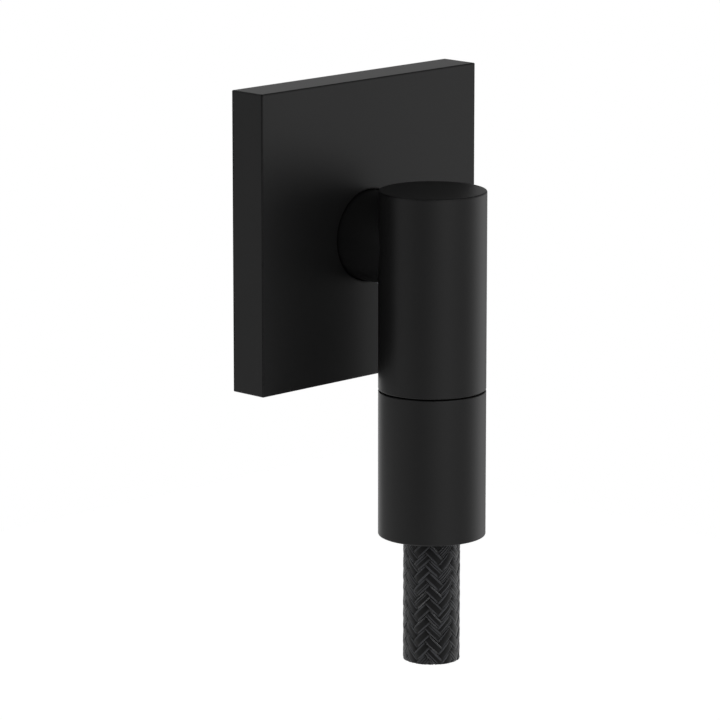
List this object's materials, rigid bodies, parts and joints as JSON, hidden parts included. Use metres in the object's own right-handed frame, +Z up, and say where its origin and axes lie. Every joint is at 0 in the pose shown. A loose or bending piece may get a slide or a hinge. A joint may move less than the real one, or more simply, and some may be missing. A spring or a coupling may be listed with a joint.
{
  "type": "wall outlet elbow",
  "caption": "Square wall plate with a round neck and upright barrel that turn a wall water supply down into a nut-coupled braided shower hose.",
  "frame": {"origin": "on the inlet axis, at the wall plane where the plate's back edge rests", "axes": "+Y into the wall along the inlet thread, +Z up, the barrel and hose in front of the wall on the -Y side"},
  "size_m": [0.07, 0.0571, 0.1344],
  "materials": {
    "black_coat": "satin black powder coat",
    "braid_yarn": "woven black textile yarn",
    "hose_rubber": "matt",
    "foam_gasket": "closed-cell foam",
    "seal_rubber": "smooth",
    "bare_brass": "turned",
    "steel": "bright",
    "valve_plastic": "moulded"
  },
  "bodies": {
    "fitting": {"wall_plate": "black_coat", "elbow_body": "black_coat", "hose_nut": "black_coat", "hose_braid": "braid_yarn", "hose_liner": "hose_rubber", "plate_gasket": "foam_gasket", "plate_oring": "seal_rubber", "nipple_oring_inner": "seal_rubber", "nipple_oring_outer": "seal_rubber", "check_valve_oring": "seal_rubber", "outlet_washer": "seal_rubber", "wall_nipple": "bare_brass", "hose_tail": "bare_brass", "set_screw": "steel", "hose_ferrule": "steel", "check_valve_spring": "steel", "check_valve_housing": "valve_plastic", "check_valve_guide": "valve_plastic", "nut_slip_ring": "valve_plastic"},
    "poppet": {"check_valve_poppet": "valve_plastic", "check_valve_seal": "seal_rubber"}
  },
  "joints": [
    {"name": "poppet_slide", "type": "slide", "parent": "fitting", "child": "poppet", "axis": [0, 0, -1], "range_m": [0, 0.003], "stiffness_N_per_m": 80, "springref_m": -0.003, "deforming": ["check_valve_spring"]}
  ]
}
